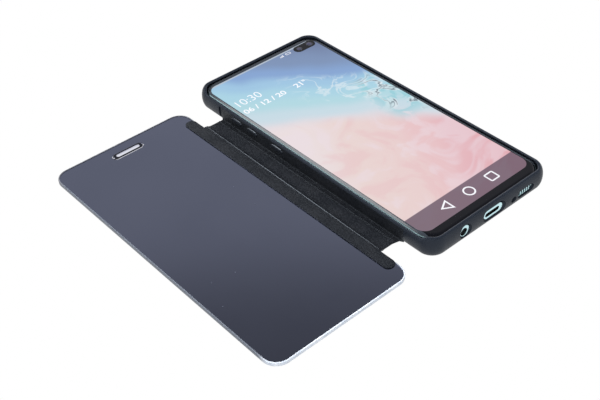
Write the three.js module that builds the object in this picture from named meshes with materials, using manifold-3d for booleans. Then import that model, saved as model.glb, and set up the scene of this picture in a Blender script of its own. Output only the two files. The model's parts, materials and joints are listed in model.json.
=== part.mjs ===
// A slab phone in a flip case: a flexible tray with raised lips holds the phone, and a two-crease leather
// spine on its left wall carries a smoked mirror cover. The cover lies open, flat beside the phone.
//
// Millimetres, +Z up. The phone lies screen up, +Y is its top end and +X its right side. The origin is the
// centre of the case's back face, on the surface that the object rests on.
import * as THREE from "three";
import { mergeVertices } from "three/addons/utils/BufferGeometryUtils.js";
import Module from "manifold-3d";

const wasm = await Module();
wasm.setup();

// ---------------------------------------------------------------- driving dimensions

const PHONE = { width: 74.1, length: 157.6, corner: 9.2, back: 2.0, front: 9.8 };
const GAP = 0.05; // between pieces that touch
const BEYOND = 1; // how far a cutting shape runs past what it cuts
const QUARTER = 6; // straight steps in a quarter turn
const SMALL = 2; // the same, on small hidden pieces
const PORT_Z = 5.2; // centre height of the sockets in the lower edge
const KEY_Z = 5.4; // centre height of the side keys

// The tray's wall is rounded: widest partway up, drawn in by a reach at its foot and at its lip.
const TRAY = {
  width: 77.4,
  length: 162.2,
  corner: 8,
  bottom: 0.55,
  floor: 1.9,
  widest: 5.6,
  footReach: 2.2,
  lip: 10.7,
  lipReach: 1.9,
  profileSteps: 4, // from the widest height to the foot, and to the lip
  overEnds: 0.8, // how far the lip hangs over the glass
  overSides: 0.5,
};
const LEFT_LIP = { height: 8.7, straight: 71, risen: 78.5, reach: 5 }; // lower, where the cover folds over
const SKIN = { sunk: 0.55, thick: 0.4, low: -61.7, high: 61.6, foot: 1.6, top: 8.1 }; // on the left wall
const BACK_SKIN = { width: 72.4, length: 155.9, corner: 5.6, thick: 0.5, windowMargin: 0.5 };
const WINDOW = { width: 49, height: 16.5, corner: 8, y: 57 }; // rear camera opening in the case

const CREASE_X = { tray: -39.3, cover: -49.7 }; // the fold lines on either side of the spine
const SPINE = { low: -60.6, high: 60, layer: 0.35 };
SPINE.near = CREASE_X.tray - 0.25;
SPINE.far = CREASE_X.cover + 0.75;
const SPINE_TAILS = { width: 3, far: 0.8, near: 0.6 }; // the corners of its lower end reach further down
const COVER = { width: 74.6, length: 158.6, corner: 7.2, thick: 1.9, base: 1.3, rim: 1.0, y: -0.9 };
COVER.right = CREASE_X.cover - 0.1;
COVER.x = COVER.right - COVER.width / 2;
const FILM = { thick: 0.25, slack: 0.2 };
const STRIP = { width: 5.85, low: -71.9, high: 69, corner: 2.8, bottom: 1.65, thick: 0.5, slack: 0.3 };
const EARPIECE_SLOT = { length: 12.7, height: 2, ringLength: 17.25, ringHeight: 4.5, y: 70.4 };
EARPIECE_SLOT.x = CREASE_X.cover - 37.8; // over the phone's centre line once the cover is shut

// Side pads moulded into the case, and the phone's own keys behind them: [centre y, length].
const PADS = { height: 2.4, leftOuter: 38.6, rightOuter: 38.9, clearance: 0.15 };
const PAD_INNER = { rocker: 37.7, key: 37.5 }; // the pads over the rocker stay clear of its tilting ends
const LEFT_PADS = { volume_up_pad: [48.6, 7.6], volume_down_pad: [36.8, 7.6], assistant_pad: [18.7, 8.3] };
const POWER_PAD = [32.6, 8.5];
const KEYS = { height: 2.0, corner: 0.6, outer: 37.25, inner: 36.05 };
const KEY_SLOT = { inner: 34, outer: 38, clearance: 0.2 }; // in the phone's frame
const KEY_POCKET = { inner: 36.9, outer: 37.8, clearance: 0.3 }; // in the case wall
const VOLUME_ROCKER = [42.7, 19.4];
const ASSISTANT_KEY = [18.7, 8.3];
const POWER_KEY = [32.6, 9.2];

const FRAME = { bottom: 2.6, top: 8.35, plateLow: 7.0, plateHigh: 7.7 };
const CAVITY = { width: 69.8, length: 152.4, corner: 4.5 }; // inside the frame, below its plate
const GLASS_SEAT = { width: 71, length: 153.6, corner: 7 }; // inside the frame, above its plate
const END_WALL = { inner: 75.5, outer: 80 }; // y that the holes through the frame's ends run between
const LOWER_EDGE = { jack: -18, usb: 0.5, microphone: 13.5, speaker: 21.7 }; // x of what opens there
const UPPER_MICROPHONE = -6; // x
const MICROPHONE_HOLE = 0.6;
const SPEAKER_HOLES = { count: 6, pitch: 1.6, width: 0.9, height: 1.9 };
const CUTOUTS = {
  usb: { x: 0.9, z: 5.9, width: 14.6, height: 6 },
  jack: { x: -18.2, z: 5.9, radius: 3.4 },
  microphone: { radius: 1.1 },
  speaker: { width: 10.6, height: 3.4 },
};
const USB = { width: 9, height: 3.2, wall: 0.3, clearance: 0.2, front: -78.4, back: -70 };
const USB_TONGUE = { half: 3.4, thick: 0.7, front: -77.6 };
const JACK = { half: 3, below: 1.5, above: 1.3, front: -76.1, back: -62, bore: 1.1, mouth: 1.9 };
const LENSES = { rear_camera_wide: -15, rear_camera_tele: -4, rear_camera_ultrawide: 7 }; // x of each
const LENS = { hole: 3.7, cover: 3.6, barrel: 3.3, bodyHalf: 4.8 };
const FLASH = { x: 16.5, hole: 2.2, radius: 2.1 };
const BEZEL = { width: 46, height: 13.5, corner: 6.6, low: 1.2 };
const FRONT_CAMERAS = { front_camera_main: [30.4, 71.75, 2.0], front_camera_depth: [23.4, 71.75, 1.8] };
const FRONT_CAMERA = { bodyHalf: 2.4, bodyLow: 4.2, bodyHigh: 6.4, top: 9.05, clearance: 0.2 };
const DISPLAY = { width: 69.6, length: 146.9, corner: 5.9, y: 1.1, low: 8.5, high: 9.1, slack: 0.2 };
const EARPIECE = { half: 5, y: 74, slitHalf: 4, slitTall: 1, grilleHalf: 6, grilleDepth: 0.75 };
const SIM = { x: -22, width: 14, height: 1.8, slot: 0.4, armHalf: 6.2, low: 62.4, z: 5 };
const MOTOR = { x: -29, y: -66, radius: 4.4 };
const BOARD = { low: 6.1, high: 6.8 };
const SUB_BOARD = { low: 6.6, high: 6.95 };
const BRACKET = { low: 2.85, high: 3.2 };
const SCREW = { head: 1.3, shank: 0.6, hole: 0.8, sides: 8 };
const CORNER_SCREWS = [
  [-31, 46],
  [31, 46],
  [-31, 66],
  [-31, -57.5],
  [8.5, -57.5],
  [31, -57.5],
];

// ---------------------------------------------------------------- materials

const paint = (color, roughness, metalness = 0) =>
  new THREE.MeshStandardMaterial({ color, roughness, metalness });
const MATERIALS = {
  tray: paint(0x24262c, 0.6),
  leather: paint(0x1d1f24, 0.75),
  smoke: paint(0x9aa0ad, 0.1),
  mirror: paint(0x3d4152, 0.08, 0.6),
  glass: paint(0x11141a, 0.05),
  display: paint(0xc9b3bd, 0.3),
  frame: paint(0x9fc9cf, 0.3, 0.9),
  steel: paint(0xb8bcc2, 0.35, 1),
  copper: paint(0xb87333, 0.4, 1),
  board: paint(0x12402c, 0.6),
  battery: paint(0x2b2b2e, 0.5),
  plastic: paint(0x16171a, 0.6),
};

// ---------------------------------------------------------------- shapes and solids

function roundedRect(width, length, radius, x = 0, y = 0) {
  const shape = new THREE.Shape();
  const corners = [
    [1, -1, -Math.PI / 2],
    [1, 1, 0],
    [-1, 1, Math.PI / 2],
    [-1, -1, Math.PI],
  ];
  for (const [sx, sy, start] of corners)
    shape.absarc(
      x + sx * (width / 2 - radius),
      y + sy * (length / 2 - radius),
      radius,
      start,
      start + Math.PI / 2,
      false,
    );
  shape.closePath();
  return shape;
}

const polygon = (points) => new THREE.Shape(points.map(([x, y]) => new THREE.Vector2(x, y)));
const disc = (radius, x = 0, y = 0) => new THREE.Shape().absarc(x, y, radius, 0, 2 * Math.PI, false);
const stadium = (length, height, x = 0, y = 0) =>
  roundedRect(length, height, Math.min(length, height) / 2 - 0.001, x, y);

// A flat shape pushed along Z, or stood up and pushed along Y (shape in x, z) or X (shape in y, z). Each of
// its arcs is drawn in the given number of straight steps.
function prism(shape, low, high, steps = QUARTER) {
  const options = { depth: high - low, bevelEnabled: false, curveSegments: steps / 2 };
  return new THREE.ExtrudeGeometry(shape, options).translate(0, 0, low);
}
function prismY(shape, low, high, steps = QUARTER) {
  return prism(shape, 0, high - low, steps)
    .rotateX(Math.PI / 2)
    .translate(0, high, 0);
}
function prismX(shape, low, high, steps = QUARTER) {
  const axes = new THREE.Matrix4().makeBasis(
    new THREE.Vector3(0, 1, 0),
    new THREE.Vector3(0, 0, 1),
    new THREE.Vector3(1, 0, 0),
  );
  return prism(shape, 0, high - low, steps)
    .applyMatrix4(axes)
    .translate(low, 0, 0);
}
function box(x0, x1, y0, y1, z0, z1) {
  return new THREE.BoxGeometry(x1 - x0, y1 - y0, z1 - z0).translate(
    (x0 + x1) / 2,
    (y0 + y1) / 2,
    (z0 + z1) / 2,
  );
}
const cylinder = (radius, x, y, low, high, sides = 20) => prism(disc(radius, x, y), low, high, sides);

// A shape in y, z pushed along X between two distances from the middle plane, on the left or right side.
const onSide = (side, shape, inner, outer, steps = QUARTER) =>
  side < 0 ? prismX(shape, -outer, -inner, steps) : prismX(shape, inner, outer, steps);
const rectangle = (length, height, y, z) =>
  polygon([
    [y - length / 2, z - height / 2],
    [y + length / 2, z - height / 2],
    [y + length / 2, z + height / 2],
    [y - length / 2, z + height / 2],
  ]);

// Rounded rectangles of the given sizes stacked at rising heights and skinned: [z, width, length, radius].
function stack(levels) {
  const turns = [
    [1, -1, -1],
    [1, 1, 0],
    [-1, 1, 1],
    [-1, -1, 2],
  ];
  const rings = levels.map(([z, width, length, radius]) => {
    const ring = [];
    for (const [sx, sy, quarter] of turns)
      for (let step = 0; step <= QUARTER; step++) {
        const angle = (quarter + step / QUARTER) * (Math.PI / 2);
        const x = sx * (width / 2 - radius) + radius * Math.cos(angle);
        const y = sy * (length / 2 - radius) + radius * Math.sin(angle);
        ring.push([x, y, z]);
      }
    return ring;
  });
  const n = rings[0].length;
  const position = rings.flat(2);
  const index = [];
  for (let level = 0; level + 1 < rings.length; level++)
    for (let i = 0; i < n; i++) {
      const a = level * n + i;
      const b = level * n + ((i + 1) % n);
      index.push(a, b, b + n, a, b + n, a + n);
    }
  const last = (rings.length - 1) * n;
  for (let i = 1; i + 1 < n; i++) index.push(0, i + 1, i, last, last + i, last + i + 1);
  const geometry = new THREE.BufferGeometry();
  geometry.setAttribute("position", new THREE.Float32BufferAttribute(position, 3));
  return geometry.setIndex(index);
}

function solid(geometry) {
  const bare = new THREE.BufferGeometry();
  bare.setAttribute("position", geometry.getAttribute("position"));
  bare.setIndex(geometry.index);
  const merged = mergeVertices(bare, 1e-4);
  const vertProperties = merged.attributes.position.array;
  const triVerts = new Uint32Array(merged.index.array);
  return new wasm.Manifold(new wasm.Mesh({ numProp: 3, vertProperties, triVerts }));
}
function geometryOf(manifold) {
  const mesh = manifold.getMesh();
  const geometry = new THREE.BufferGeometry();
  geometry.setAttribute("position", new THREE.BufferAttribute(mesh.vertProperties, 3));
  geometry.setIndex(new THREE.BufferAttribute(mesh.triVerts, 1));
  const faceted = geometry.toNonIndexed();
  faceted.computeVertexNormals();
  return faceted;
}
const cut = (base, ...tools) =>
  geometryOf(tools.reduce((left, tool) => left.subtract(solid(tool)), solid(base)));
const join = (first, ...others) =>
  geometryOf(others.reduce((sum, other) => sum.add(solid(other)), solid(first)));
const keep = (base, inside) => geometryOf(solid(base).intersect(solid(inside)));

const object = new THREE.Group();
function add(name, geometry, material) {
  const mesh = new THREE.Mesh(geometry, MATERIALS[material]);
  mesh.name = name;
  object.add(mesh);
}

// ---------------------------------------------------------------- case tray

// The tray's outside, drawn in by an inset: one elliptical quarter down to the foot, another up to the lip.
function trayOutside(inset) {
  const levels = [];
  const level = (z, draw) =>
    levels.push([z, TRAY.width - 2 * draw, TRAY.length - 2 * draw, TRAY.corner - draw]);
  for (let step = 0; step < TRAY.profileSteps; step++) {
    const angle = (step / TRAY.profileSteps) * (Math.PI / 2);
    const z = TRAY.widest - (TRAY.widest - TRAY.bottom) * Math.cos(angle);
    level(z, inset + TRAY.footReach * (1 - Math.sin(angle)));
  }
  for (let step = 0; step <= TRAY.profileSteps; step++) {
    const angle = (step / TRAY.profileSteps) * (Math.PI / 2);
    const z = TRAY.widest + (TRAY.lip - TRAY.widest) * Math.sin(angle);
    level(z, inset + TRAY.lipReach * (1 - Math.cos(angle)));
  }
  return stack(levels);
}

// The phone's own outline at a height, drawn in by an inset.
const frameOutline = (z, inset) => [
  z,
  PHONE.width - 2 * inset,
  PHONE.length - 2 * inset,
  PHONE.corner - inset,
];
const pocket = stack([
  frameOutline(TRAY.floor, 0.85),
  frameOutline(FRAME.bottom - GAP, 0.8),
  frameOutline(FRAME.bottom + 0.65, 0.15),
  frameOutline(FRAME.bottom + 1.55, -GAP),
  frameOutline(PHONE.front + 0.15, -GAP),
]);
const mouth = prism(
  roundedRect(
    PHONE.width - 2 * TRAY.overSides,
    PHONE.length - 2 * TRAY.overEnds,
    PHONE.corner - TRAY.overEnds,
  ),
  PHONE.front,
  TRAY.lip + BEYOND,
);
const leftDip = polygon([
  [-LEFT_LIP.straight, LEFT_LIP.height],
  [LEFT_LIP.straight, LEFT_LIP.height],
  [LEFT_LIP.risen, TRAY.lip + BEYOND],
  [-LEFT_LIP.risen, TRAY.lip + BEYOND],
]);
const padShape = ([y, length], slack = 0) =>
  stadium(length + 2 * slack, PADS.height + 2 * slack, y, KEY_Z);
const padSlot = (pad, side) =>
  onSide(side, padShape(pad, PADS.clearance), PHONE.width / 2 - GAP, TRAY.width);
const keyHole = ([y, length], side, { inner, outer, clearance }) =>
  onSide(
    side,
    rectangle(length + 2 * clearance, KEYS.height + 2 * clearance, y, KEY_Z),
    inner,
    outer,
  );
const skinBand = (shallow, deep, slack) =>
  keep(
    cut(trayOutside(shallow), trayOutside(deep)),
    box(
      -TRAY.width,
      -TRAY.width / 2 + LEFT_LIP.reach,
      SKIN.low - slack,
      SKIN.high + slack,
      SKIN.foot - slack,
      SKIN.top + slack,
    ),
  );
const leftSlots = Object.values(LEFT_PADS).map((pad) => padSlot(pad, -1));
const lowerWall = [-TRAY.length / 2 - BEYOND, -PHONE.length / 2 + 0.5];
const upperWall = [PHONE.length / 2 - 0.5, TRAY.length / 2 + BEYOND];
add(
  "case_tray",
  cut(
    trayOutside(0),
    pocket,
    mouth,
    onSide(-1, leftDip, TRAY.width / 2 - LEFT_LIP.reach, TRAY.width / 2 + BEYOND),
    skinBand(-BEYOND, SKIN.sunk + SKIN.thick + GAP, GAP),
    ...leftSlots,
    padSlot(POWER_PAD, 1),
    keyHole(VOLUME_ROCKER, -1, KEY_POCKET),
    keyHole(ASSISTANT_KEY, -1, KEY_POCKET),
    keyHole(POWER_KEY, 1, KEY_POCKET),
    prismY(stadium(CUTOUTS.usb.width, CUTOUTS.usb.height, CUTOUTS.usb.x, CUTOUTS.usb.z), ...lowerWall),
    prismY(disc(CUTOUTS.jack.radius, CUTOUTS.jack.x, CUTOUTS.jack.z), ...lowerWall, 20),
    prismY(disc(CUTOUTS.microphone.radius, LOWER_EDGE.microphone, PORT_Z), ...lowerWall, 12),
    prismY(stadium(CUTOUTS.speaker.width, CUTOUTS.speaker.height, LOWER_EDGE.speaker, PORT_Z), ...lowerWall),
    prismY(disc(CUTOUTS.microphone.radius, UPPER_MICROPHONE, PORT_Z), ...upperWall, 12),
    prism(roundedRect(WINDOW.width, WINDOW.height, WINDOW.corner, 0, WINDOW.y), 0, TRAY.floor + BEYOND),
  ),
  "tray",
);
const skinWindow = roundedRect(
  WINDOW.width + 2 * BACK_SKIN.windowMargin,
  WINDOW.height + 2 * BACK_SKIN.windowMargin,
  WINDOW.corner + BACK_SKIN.windowMargin,
  0,
  WINDOW.y,
);
add(
  "back_skin",
  cut(
    prism(roundedRect(BACK_SKIN.width, BACK_SKIN.length, BACK_SKIN.corner), 0, BACK_SKIN.thick),
    prism(skinWindow, -BEYOND, BEYOND),
  ),
  "leather",
);
add("wall_skin", cut(skinBand(SKIN.sunk, SKIN.sunk + SKIN.thick, 0), ...leftSlots), "leather");
for (const [name, pad] of Object.entries(LEFT_PADS)) {
  const inner = name.startsWith("volume") ? PAD_INNER.rocker : PAD_INNER.key;
  add(name, onSide(-1, padShape(pad), inner, PADS.leftOuter), "tray");
}
add("power_pad", onSide(1, padShape(POWER_PAD), PAD_INNER.key, PADS.rightOuter), "tray");

// ---------------------------------------------------------------- spine

// The spine's plan, drawn in by an inset: straight at the top end, slightly hollow at the lower end.
const spinePlan = (inset) =>
  polygon([
    [SPINE.far + inset, SPINE.high - inset],
    [SPINE.far + inset, SPINE.low - SPINE_TAILS.far + inset],
    [SPINE.far + SPINE_TAILS.width, SPINE.low + inset],
    [SPINE.near - SPINE_TAILS.width, SPINE.low + inset],
    [SPINE.near - inset, SPINE.low - SPINE_TAILS.near + inset],
    [SPINE.near - inset, SPINE.high - inset],
  ]);
const layer = SPINE.layer;
add("spine_outer_skin", prism(spinePlan(0), 0, layer), "leather");
add("spine_board", prism(spinePlan(1), layer + GAP, 2 * layer), "plastic");
add("spine_inner_skin", prism(spinePlan(0), 2 * layer + GAP, 3 * layer + GAP), "leather");

// ---------------------------------------------------------------- cover

const slotAt = (length, height) => stadium(length, height, EARPIECE_SLOT.x, EARPIECE_SLOT.y);
const filmPlan = (slack) =>
  roundedRect(
    COVER.width - 2 * COVER.rim - slack,
    COVER.length - 2 * COVER.rim - slack,
    COVER.corner - COVER.rim,
    COVER.x,
    COVER.y,
  );
const stripMiddle = (STRIP.low + STRIP.high) / 2;
const stripPlan = (slack) =>
  roundedRect(
    STRIP.width + slack,
    STRIP.high - STRIP.low + slack,
    STRIP.corner,
    COVER.right - STRIP.width / 2,
    stripMiddle,
  );
const panelPlan = roundedRect(COVER.width, COVER.length, COVER.corner, COVER.x, COVER.y);
const earpieceOpening = slotAt(EARPIECE_SLOT.length, EARPIECE_SLOT.height);
add(
  "cover_panel",
  cut(
    prism(panelPlan, 0, COVER.thick),
    prism(filmPlan(0), COVER.base, COVER.thick + BEYOND),
    prism(stripPlan(STRIP.slack), STRIP.bottom - GAP, COVER.thick + BEYOND),
    prism(earpieceOpening, -BEYOND, COVER.thick + BEYOND),
  ),
  "smoke",
);
add(
  "mirror_film",
  cut(
    prism(filmPlan(FILM.slack), COVER.base + GAP, COVER.base + GAP + FILM.thick),
    prism(
      slotAt(EARPIECE_SLOT.ringLength + FILM.slack, EARPIECE_SLOT.ringHeight + FILM.slack),
      0,
      COVER.thick,
    ),
  ),
  "mirror",
);
add("cover_strip", prism(stripPlan(0), STRIP.bottom, STRIP.bottom + STRIP.thick), "leather");
add(
  "earpiece_ring",
  cut(
    prism(slotAt(EARPIECE_SLOT.ringLength, EARPIECE_SLOT.ringHeight), COVER.base + GAP, COVER.thick + 0.1),
    prism(earpieceOpening, 0, COVER.thick + BEYOND),
  ),
  "smoke",
);

// ---------------------------------------------------------------- phone housing

const usb = LOWER_EDGE.usb;
const usbShell = (inset) => stadium(USB.width - 2 * inset, USB.height - 2 * inset, usb, PORT_Z);
const lowerHole = (shape, steps) => prismY(shape, -END_WALL.outer, -END_WALL.inner, steps);
const cameraHoles = (clearance, low, high) =>
  Object.values(FRONT_CAMERAS).map(([x, y, radius]) => cylinder(radius + clearance, x, y, low, high));
const upperHole = (shape, steps) => prismY(shape, END_WALL.inner, END_WALL.outer, steps);
const speakerHoles = Array.from({ length: SPEAKER_HOLES.count }, (_, i) => {
  const x = LOWER_EDGE.speaker + SPEAKER_HOLES.pitch * (i - (SPEAKER_HOLES.count - 1) / 2);
  const shape = stadium(SPEAKER_HOLES.width, SPEAKER_HOLES.height, x, PORT_Z);
  return lowerHole(shape, SMALL);
});
add(
  "mid_frame",
  cut(
    stack([
      frameOutline(FRAME.bottom, 0.9),
      frameOutline(FRAME.bottom + 0.7, 0.25),
      frameOutline(FRAME.bottom + 1.6, 0),
      frameOutline(FRAME.top - 1.2, 0),
      frameOutline(FRAME.top, 0.3),
    ]),
    prism(roundedRect(CAVITY.width, CAVITY.length, CAVITY.corner), PHONE.back, FRAME.plateLow),
    prism(
      roundedRect(GLASS_SEAT.width, GLASS_SEAT.length, GLASS_SEAT.corner),
      FRAME.plateHigh,
      FRAME.top + BEYOND,
    ),
    keyHole(VOLUME_ROCKER, -1, KEY_SLOT),
    keyHole(ASSISTANT_KEY, -1, KEY_SLOT),
    keyHole(POWER_KEY, 1, KEY_SLOT),
    lowerHole(usbShell(-USB.clearance)),
    lowerHole(disc(JACK.mouth, LOWER_EDGE.jack, PORT_Z), 20),
    lowerHole(disc(MICROPHONE_HOLE, LOWER_EDGE.microphone, PORT_Z), 10),
    ...speakerHoles,
    upperHole(disc(MICROPHONE_HOLE, UPPER_MICROPHONE, PORT_Z), 10),
    upperHole(stadium(SIM.width + SIM.slot, SIM.height + SIM.slot, SIM.x, SIM.z)),
    ...cameraHoles(0.3, FRAME.plateLow - BEYOND, FRAME.plateHigh + 0.3),
    box(
      -EARPIECE.slitHalf,
      EARPIECE.slitHalf,
      EARPIECE.y - EARPIECE.slitTall,
      EARPIECE.y + EARPIECE.slitTall,
      FRAME.plateLow - BEYOND,
      FRAME.plateHigh + 0.3,
    ),
  ),
  "frame",
);

const glassEdge = (z, side, end) => [
  z,
  PHONE.width - 2 * side,
  PHONE.length - 2 * end,
  PHONE.corner - end,
];
const displayPlan = (slack) =>
  roundedRect(DISPLAY.width + slack, DISPLAY.length + slack, DISPLAY.corner + slack / 2, 0, DISPLAY.y);
add(
  "front_glass",
  cut(
    stack([
      glassEdge(8.4, 0.3, 0.3),
      glassEdge(8.8, 0.45, 0.35),
      glassEdge(9.15, 0.9, 0.4),
      glassEdge(9.45, 1.6, 0.5),
      glassEdge(9.68, 2.5, 0.65),
      glassEdge(PHONE.front, 3.6, 1.0),
    ]),
    prism(displayPlan(DISPLAY.slack), DISPLAY.low - BEYOND, DISPLAY.high + 0.1),
    box(
      -EARPIECE.grilleHalf,
      EARPIECE.grilleHalf,
      PHONE.length / 2 - EARPIECE.grilleDepth,
      PHONE.length / 2 + BEYOND,
      FRAME.top - BEYOND,
      PHONE.front + BEYOND,
    ),
  ),
  "glass",
);
const rearHoles = [
  ...Object.values(LENSES).map((x) => cylinder(LENS.hole, x, WINDOW.y, 0, FRAME.bottom + BEYOND)),
  cylinder(FLASH.hole, FLASH.x, WINDOW.y, 0, FRAME.bottom + BEYOND),
];
add(
  "rear_glass",
  cut(
    stack([
      glassEdge(PHONE.back, 3.2, 2.2),
      glassEdge(PHONE.back + 0.2, 1.9, 1.3),
      glassEdge(PHONE.back + 0.55, 1.0, 0.9),
    ]),
    ...rearHoles,
  ),
  "glass",
);
const key = ([y, length], side) =>
  onSide(side, roundedRect(length, KEYS.height, KEYS.corner, y, KEY_Z), KEYS.inner, KEYS.outer, SMALL);
add("volume_rocker", key(VOLUME_ROCKER, -1), "frame");
add("assistant_key", key(ASSISTANT_KEY, -1), "frame");
add("power_key", key(POWER_KEY, 1), "frame");
add(
  "sim_tray",
  join(
    prismY(stadium(SIM.width, SIM.height, SIM.x, SIM.z), 76.6, 78.6),
    box(SIM.x - SIM.armHalf, SIM.x + SIM.armHalf, SIM.low, 77, SIM.z - 0.6, SIM.z + 0.6),
  ),
  "frame",
);

// ---------------------------------------------------------------- display and front cameras

add(
  "display_panel",
  cut(
    prism(displayPlan(0), DISPLAY.low, DISPLAY.high),
    ...cameraHoles(FRONT_CAMERA.clearance, DISPLAY.low - BEYOND, DISPLAY.high + BEYOND),
  ),
  "display",
);
add(
  "display_backing",
  cut(
    prism(roundedRect(66, 140, 4, 0, -2), FRAME.plateHigh + GAP, FRAME.top - 0.1, SMALL),
    box(18, 36, 64, 70, FRAME.plateHigh - BEYOND, FRAME.top + BEYOND),
  ),
  "copper",
);
for (const [name, [x, y, radius]] of Object.entries(FRONT_CAMERAS)) {
  const { bodyHalf, bodyLow, bodyHigh, top } = FRONT_CAMERA;
  const barrel = cylinder(radius, x, y, bodyHigh - 0.2, top);
  const body = box(x - bodyHalf, x + bodyHalf, y - bodyHalf, y + bodyHalf, bodyLow, bodyHigh);
  add(name, join(barrel, body), "plastic");
}

// ---------------------------------------------------------------- rear cameras

add(
  "camera_bezel",
  cut(
    prism(
      roundedRect(BEZEL.width, BEZEL.height, BEZEL.corner, 0, WINDOW.y),
      BEZEL.low,
      PHONE.back - GAP,
    ),
    ...rearHoles,
  ),
  "plastic",
);
for (const [name, x] of Object.entries(LENSES)) {
  const { bodyHalf } = LENS;
  const barrel = cylinder(LENS.barrel, x, WINDOW.y, 1.9, 3);
  const body = box(x - bodyHalf, x + bodyHalf, WINDOW.y - bodyHalf, WINDOW.y + bodyHalf, 2.7, 6.4);
  add(name.replace("camera", "lens"), cylinder(LENS.cover, x, WINDOW.y, 1.3, 1.8), "glass");
  add(name, join(barrel, body), "plastic");
}
add("flash_window", cylinder(FLASH.radius, FLASH.x, WINDOW.y, 1.3, 2.5), "glass");

// ---------------------------------------------------------------- boards, battery and modules

const throughBoards = [PHONE.back, FRAME.plateLow + BEYOND];
const screwHoles = CORNER_SCREWS.map(([x, y]) => cylinder(SCREW.hole, x, y, ...throughBoards, SCREW.sides));
add(
  "main_board",
  cut(
    prism(roundedRect(67, 42, 2, 0, 54), BOARD.low, BOARD.high, SMALL),
    box(-20.5, 12.5, 51.2, 62.8, ...throughBoards), // around the rear cameras
    box(19, 36, 68, 77, ...throughBoards), // around the front cameras
    box(-6, 6, 71, 77, ...throughBoards), // around the earpiece
    ...screwHoles,
  ),
  "board",
);
add("processor_shield", prism(roundedRect(24, 15.5, 1, -16, 41.5), 4.2, 6.0, SMALL), "steel");
add("radio_shield", prism(roundedRect(20, 15.5, 1, 14, 41.5), 4.2, 6.0, SMALL), "steel");
add("heat_pipe", prism(roundedRect(5, 30, 2.4, 26.5, 17), 6.45, 6.9, 4), "copper");
add("battery", prism(roundedRect(50, 80, 2, -1, -10), 3.75, 6.35, SMALL), "battery");
add("ferrite_sheet", prism(roundedRect(46, 60, 3, 0, -4), 3.3, 3.65, SMALL), "plastic");
add("charging_coil", cut(cylinder(20, 0, -4, 2.75, 3.2, 32), cylinder(10, 0, -4, 2, 4, 24)), "copper");
add("charge_flex", box(-33.5, -27.5, -55, 32.5, 6.45, 6.75), "copper");
const usbNotch = USB.width / 2 + USB.clearance;
add(
  "sub_board",
  cut(
    prism(roundedRect(67, 18, 2, 0, -66), SUB_BOARD.low, SUB_BOARD.high, SMALL),
    box(usb - usbNotch, usb + usbNotch, -77, USB.back + USB.clearance, ...throughBoards),
    ...screwHoles,
  ),
  "board",
);
add(
  "usb_socket",
  cut(
    prismY(usbShell(0), USB.front, USB.back),
    prismY(usbShell(USB.wall), USB.front - BEYOND, USB.back - BEYOND),
  ),
  "steel",
);
add(
  "usb_tongue",
  box(
    usb - USB_TONGUE.half,
    usb + USB_TONGUE.half,
    USB_TONGUE.front,
    USB.back - BEYOND - 0.1,
    PORT_Z - USB_TONGUE.thick / 2,
    PORT_Z + USB_TONGUE.thick / 2,
  ),
  "plastic",
);
const jack = LOWER_EDGE.jack;
add(
  "headphone_jack",
  cut(
    box(
      jack - JACK.half,
      jack + JACK.half,
      JACK.front,
      JACK.back,
      PORT_Z - JACK.below,
      PORT_Z + JACK.above,
    ),
    prismY(disc(JACK.bore, jack, PORT_Z), JACK.front - BEYOND, JACK.back - BEYOND, 12),
  ),
  "plastic",
);
add("loudspeaker", prism(roundedRect(17, 12, 1.5, 23.5, -68.5), 3.5, 6.45, SMALL), "plastic");
add("vibration_motor", cylinder(MOTOR.radius, MOTOR.x, MOTOR.y, 3.5, 6.45), "steel");
const microphone = LOWER_EDGE.microphone;
add("microphone", box(microphone - 0.95, microphone + 0.95, -75.8, -73.5, 4.2, 6.0), "steel");
add(
  "earpiece_speaker",
  box(-EARPIECE.half, EARPIECE.half, EARPIECE.y - 1.9, EARPIECE.y + 1.9, 4, 6.9),
  "plastic",
);
add(
  "upper_bracket",
  cut(
    prism(roundedRect(66.5, 34, 3, 0, 57), BRACKET.low, BRACKET.high, SMALL),
    box(-20.5, 20.5, 51.2, 62.8, ...throughBoards), // around the rear cameras and the flash
    ...screwHoles,
  ),
  "plastic",
);
add(
  "lower_bracket",
  cut(prism(roundedRect(66.5, 18.5, 3, 0, -66), BRACKET.low, BRACKET.high, SMALL), ...screwHoles),
  "plastic",
);
CORNER_SCREWS.forEach(([x, y], i) => {
  const head = cylinder(SCREW.head, x, y, 2.6, BRACKET.low - GAP, 10);
  const shank = cylinder(SCREW.shank, x, y, 2.7, SUB_BOARD.high - GAP, SCREW.sides);
  add("bracket_screw_" + (i + 1), join(head, shank), "steel");
});

export default object;
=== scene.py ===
"""A slab phone in a flip case: how it looks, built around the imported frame.

Shapes are worked out in millimetres and laid down in metres. The phone lies screen up, +Y is its top end,
and the case's cover lies open on the -X side.
"""

import json
import math

import bmesh
import bpy
from mathutils import Matrix, Vector


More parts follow.
